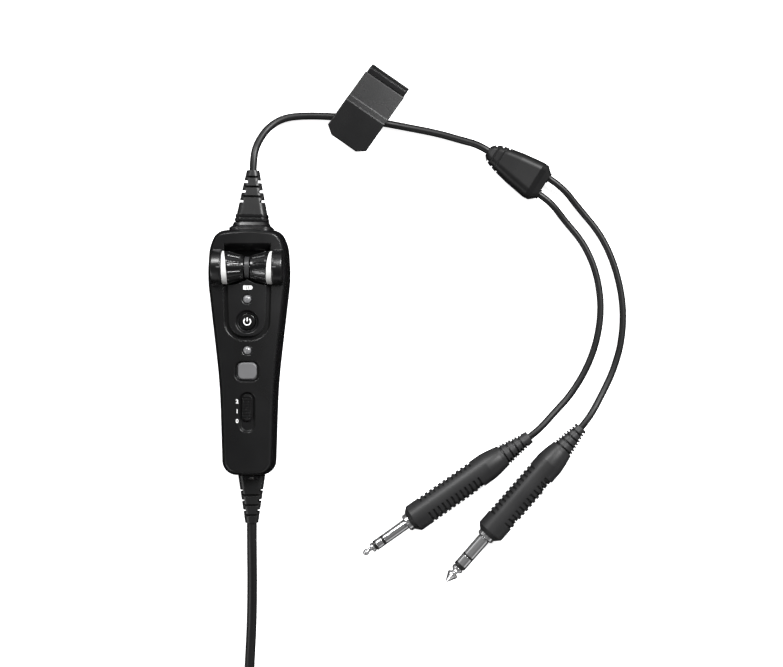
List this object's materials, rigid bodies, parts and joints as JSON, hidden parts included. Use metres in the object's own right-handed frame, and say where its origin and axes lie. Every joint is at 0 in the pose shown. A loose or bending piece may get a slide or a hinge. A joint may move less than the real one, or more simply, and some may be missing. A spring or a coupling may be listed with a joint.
{
  "type": "in-line headset control module with plug cable",
  "caption": "Hand-held in-line control module of an aviation headset: volume wheels, buttons, slide switch, battery door, garment clip, branch moulding and separate microphone and phone plugs.",
  "frame": {"origin": "bottom centre of the control module's housing, on the surface that it lies on", "axes": "+X right and +Y towards the plug cable as seen from the front, +Z out of the module's front face"},
  "size_m": [0.2085, 0.3855, 0.0342],
  "materials": {
    "housing_plastic": "satin, near black",
    "panel_plastic": "satin, near black",
    "door_plastic": "satin, near black",
    "wheel_plastic": "glossy black",
    "band_plastic": "satin white",
    "axle_steel": "ground",
    "bridge_plastic": "satin black",
    "control_metal": "satin",
    "power_plastic": "glossy black",
    "function_plastic": "satin mid grey",
    "slider_plastic": "satin black",
    "switch_metal": "satin",
    "switch_plastic": "black",
    "lens_plastic": "smoked, glossy",
    "lamp_plastic": "milky",
    "board": "green solder mask",
    "cell_wrap": "plain grey wrap",
    "contact_metal": "nickel plated",
    "screw_steel": "blackened",
    "jack_plastic": "black",
    "relief_rubber": "soft satin",
    "collar_plastic": "glossy black",
    "crimp_metal": "bright",
    "cable_jacket": "smooth, satin black",
    "tie_strap": "black strap",
    "connector_plastic": "satin black",
    "connector_metal": "nickel plated",
    "pin_metal": "gold plated",
    "junction_rubber": "satin",
    "clip_plastic": "satin black",
    "spring_steel": "drawn wire",
    "handle_rubber": "satin dark grey",
    "plug_chrome": "bright plated",
    "insulator_plastic": "black"
  },
  "bodies": {
    "module": {"front_cover": "housing_plastic", "centre_panel": "panel_plastic", "rear_shell": "housing_plastic", "door_hinge_pin": "axle_steel", "wheel_axle": "axle_steel", "wheel_bridge": "bridge_plastic", "volume_controls": "control_metal", "slide_switch": "switch_metal", "button_switches": "switch_metal", "battery_light_lens": "lens_plastic", "link_light_lens": "lens_plastic", "light_emitters": "lamp_plastic", "main_board": "board", "battery_cells": "cell_wrap", "battery_contacts": "contact_metal", "battery_springs": "contact_metal", "case_screws": "screw_steel", "aux_jack": "jack_plastic", "upper_strain_relief": "relief_rubber", "upper_relief_collar": "collar_plastic", "lower_strain_relief": "relief_rubber", "lower_crimp_ring": "crimp_metal", "plug_cable": "cable_jacket", "mic_lead": "cable_jacket", "phone_lead": "cable_jacket", "headset_cable": "cable_jacket", "headset_cable_coil": "cable_jacket", "headset_cable_tail": "cable_jacket", "coil_ties": "tie_strap", "headset_connector": "connector_plastic", "connector_shell": "connector_metal", "connector_pins": "pin_metal", "y_junction": "junction_rubber", "lead_collars": "junction_rubber", "clip_base": "clip_plastic", "clip_pin": "axle_steel", "clip_spring": "spring_steel", "phone_plug_handle": "handle_rubber", "phone_plug_ferrule": "plug_chrome", "phone_plug_sleeve": "plug_chrome", "phone_plug_ring": "plug_chrome", "phone_plug_tip": "plug_chrome", "phone_plug_insulators": "insulator_plastic", "mic_plug_handle": "handle_rubber", "mic_plug_ferrule": "plug_chrome", "mic_plug_sleeve": "plug_chrome", "mic_plug_ring": "plug_chrome", "mic_plug_tip": "plug_chrome", "mic_plug_insulators": "insulator_plastic"},
    "volume_wheel_left": {"volume_wheel_left": "wheel_plastic", "level_band_left": "band_plastic"},
    "volume_wheel_right": {"volume_wheel_right": "wheel_plastic", "level_band_right": "band_plastic"},
    "power_button": {"power_button": "power_plastic", "power_switch_plunger": "switch_plastic"},
    "function_button": {"function_button": "function_plastic", "function_switch_plunger": "switch_plastic"},
    "priority_slider": {"priority_slider": "slider_plastic"},
    "battery_door": {"battery_door": "door_plastic"},
    "clip_lever": {"clip_lever": "clip_plastic"}
  },
  "joints": [
    {"name": "volume_left_turn", "type": "hinge", "parent": "module", "child": "volume_wheel_left", "pos_m": [-0.007, 0.0398, 0.0254], "axis": [1, 0, 0], "range_deg": [-135, 135]},
    {"name": "volume_right_turn", "type": "hinge", "parent": "module", "child": "volume_wheel_right", "pos_m": [0.007, 0.0398, 0.0254], "axis": [1, 0, 0], "range_deg": [-135, 135]},
    {"name": "power_button_press", "type": "slide", "parent": "module", "child": "power_button", "axis": [0, 0, -1], "range_m": [0, 0.0006], "stiffness_N_per_m": 1500, "springref_m": -0.0004},
    {"name": "function_button_press", "type": "slide", "parent": "module", "child": "function_button", "axis": [0, 0, -1], "range_m": [0, 0.0006], "stiffness_N_per_m": 1500, "springref_m": -0.0004},
    {"name": "priority_slider_travel", "type": "slide", "parent": "module", "child": "priority_slider", "axis": [0, -1, 0], "range_m": [0, 0.0046]},
    {"name": "battery_door_swing", "type": "hinge", "parent": "module", "child": "battery_door", "pos_m": [0, -0.0064, 0.0013], "axis": [-1, 0, 0], "range_deg": [0, 90]},
    {"name": "clip_lever_open", "type": "hinge", "parent": "module", "child": "clip_lever", "pos_m": [0.0564, 0.1165, 0.0099], "axis": [0.8221, -0.5693, 0], "range_deg": [0, 18], "stiffness_Nm_per_rad": 0.12, "springref_deg": -28.65}
  ]
}
